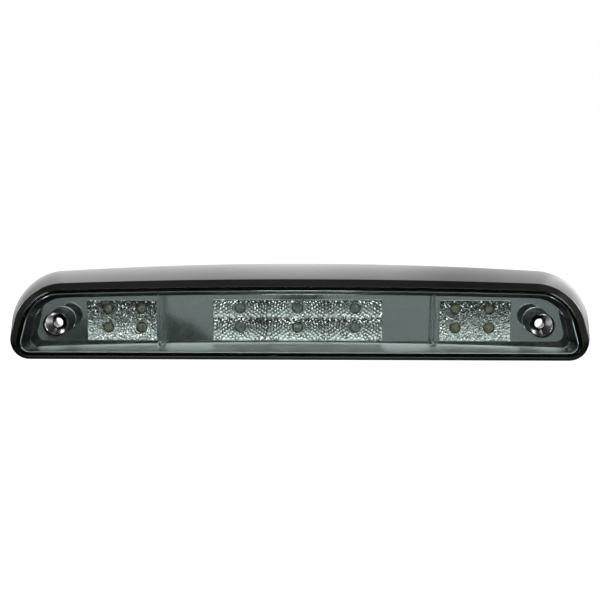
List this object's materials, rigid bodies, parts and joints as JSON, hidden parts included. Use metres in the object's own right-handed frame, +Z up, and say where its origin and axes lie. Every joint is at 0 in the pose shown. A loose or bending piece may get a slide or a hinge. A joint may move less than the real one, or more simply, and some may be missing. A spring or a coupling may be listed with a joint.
{
  "type": "third brake light",
  "caption": "Cab-mounted third brake light with cargo lamps: arched gloss-black housing, flat smoked lens, chrome tray with faceted reflectors and LEDs, two screw wells.",
  "frame": {"origin": "in the mounting plane (the rear face of the foam gasket), midway between the two screw holes and at their height", "axes": "+X to the right as seen from behind the vehicle, +Y into the cab (the lens faces -Y), +Z up"},
  "size_m": [0.3998, 0.052, 0.0634],
  "materials": {
    "gloss_black": "deep gloss black moulded plastic",
    "smoked_lens": "clear polycarbonate with a smoke tint, polished",
    "chrome": "vacuum-metallised plastic, mirror bright",
    "faceted_chrome": "vacuum-metallised plastic, finely faceted",
    "divider": "pale semi-gloss plastic",
    "rubber": "black rubber",
    "foam": "closed-cell black foam",
    "led_clear": "clear epoxy",
    "led_phosphor": "clear epoxy over yellow phosphor",
    "board": "green solder mask",
    "steel": "zinc-plated steel",
    "component": "black moulded epoxy",
    "resistor": "beige lacquer with colour bands",
    "nylon": "natural nylon",
    "lead": "black PVC sleeve"
  },
  "bodies": {
    "root": {"housing": "gloss_black", "lens": "smoked_lens", "lens_seal": "rubber", "bezel": "chrome", "mounting_gasket": "foam", "vent_plug": "rubber", "cable_grommet": "rubber", "bezel_screw_1": "steel", "bezel_screw_2": "steel", "bezel_screw_3": "steel", "bezel_screw_4": "steel", "reflector_center": "faceted_chrome", "board_center": "board", "board_screw_center_1": "steel", "board_screw_center_2": "steel", "led_red_1": "led_clear", "led_red_2": "led_clear", "led_red_3": "led_clear", "led_red_4": "led_clear", "led_red_5": "led_clear", "led_red_6": "led_clear", "resistor_center_1": "resistor", "resistor_center_2": "resistor", "diode_center": "component", "header_center": "nylon", "well_seal_left": "rubber", "divider_left": "divider", "reflector_left": "faceted_chrome", "board_left": "board", "board_screw_left_1": "steel", "board_screw_left_2": "steel", "led_white_left_1": "led_phosphor", "led_white_left_2": "led_phosphor", "led_white_left_3": "led_phosphor", "led_white_left_4": "led_phosphor", "resistor_left": "resistor", "diode_left": "component", "header_left": "nylon", "jumper_lead_left": "lead", "well_seal_right": "rubber", "divider_right": "divider", "reflector_right": "faceted_chrome", "board_right": "board", "board_screw_right_1": "steel", "board_screw_right_2": "steel", "led_white_right_1": "led_phosphor", "led_white_right_2": "led_phosphor", "led_white_right_3": "led_phosphor", "led_white_right_4": "led_phosphor", "resistor_right": "resistor", "diode_right": "component", "header_right": "nylon", "jumper_lead_right": "lead"}
  },
  "joints": []
}
